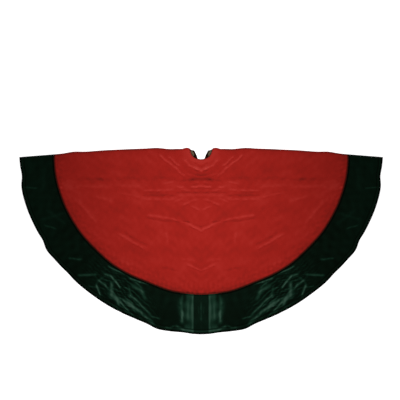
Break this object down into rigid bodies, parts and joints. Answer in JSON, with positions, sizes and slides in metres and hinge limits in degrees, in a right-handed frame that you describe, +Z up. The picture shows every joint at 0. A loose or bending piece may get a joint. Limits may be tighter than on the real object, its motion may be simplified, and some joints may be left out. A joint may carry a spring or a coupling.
{
  "type": "tree skirt",
  "caption": "Round lined velvet tree skirt with a red centre and dark green border, folded in half; slit and trunk hole let it wrap round a tree's base.",
  "frame": {"origin": "centre of the trunk hole, on the surface that the folded skirt lies on", "axes": "+X along the fold, +Z up through the two layers, -Y from the fold towards the hem"},
  "size_m": [1.2192, 0.6091, 0.0082],
  "materials": {
    "red_velvet": "matte",
    "green_velvet": "satin",
    "lining_cloth": "matte",
    "red_thread": "satin",
    "green_thread": "satin",
    "hook_tape": "satin",
    "loop_tape": "matte",
    "label_cloth": "satin"
  },
  "bodies": {
    "front_half": {"centre_panel_front": "red_velvet", "border_front_left": "green_velvet", "border_front_right": "green_velvet", "lining_front": "lining_cloth", "hole_stitch_front": "red_thread", "border_seam_stitch_front": "green_thread", "hem_stitch_front": "green_thread", "border_join_stitch_front": "green_thread"},
    "back_left": {"centre_panel_back_left": "red_velvet", "border_back_left": "green_velvet", "lining_back_left": "lining_cloth", "hole_stitch_back_left": "red_thread", "border_seam_stitch_back_left": "green_thread", "hem_stitch_back_left": "green_thread", "slit_stitch_back_left": "red_thread", "hook_tape_inner": "hook_tape", "hook_tape_middle": "hook_tape", "hook_tape_outer": "hook_tape", "care_label": "label_cloth"},
    "back_right": {"centre_panel_back_right": "red_velvet", "border_back_right": "green_velvet", "lining_back_right": "lining_cloth", "hole_stitch_back_right": "red_thread", "border_seam_stitch_back_right": "green_thread", "hem_stitch_back_right": "green_thread", "slit_stitch_back_right": "red_thread", "loop_tape_inner": "loop_tape", "loop_tape_middle": "loop_tape", "loop_tape_outer": "loop_tape"}
  },
  "joints": [
    {"name": "left_fold", "type": "hinge", "parent": "front_half", "child": "back_left", "pos_m": [0, 0, 0.0041], "axis": [1, 0, 0], "range_deg": [0, 180]},
    {"name": "right_fold", "type": "hinge", "parent": "front_half", "child": "back_right", "pos_m": [0, 0, 0.0041], "axis": [1, 0, 0], "range_deg": [0, 180]}
  ]
}
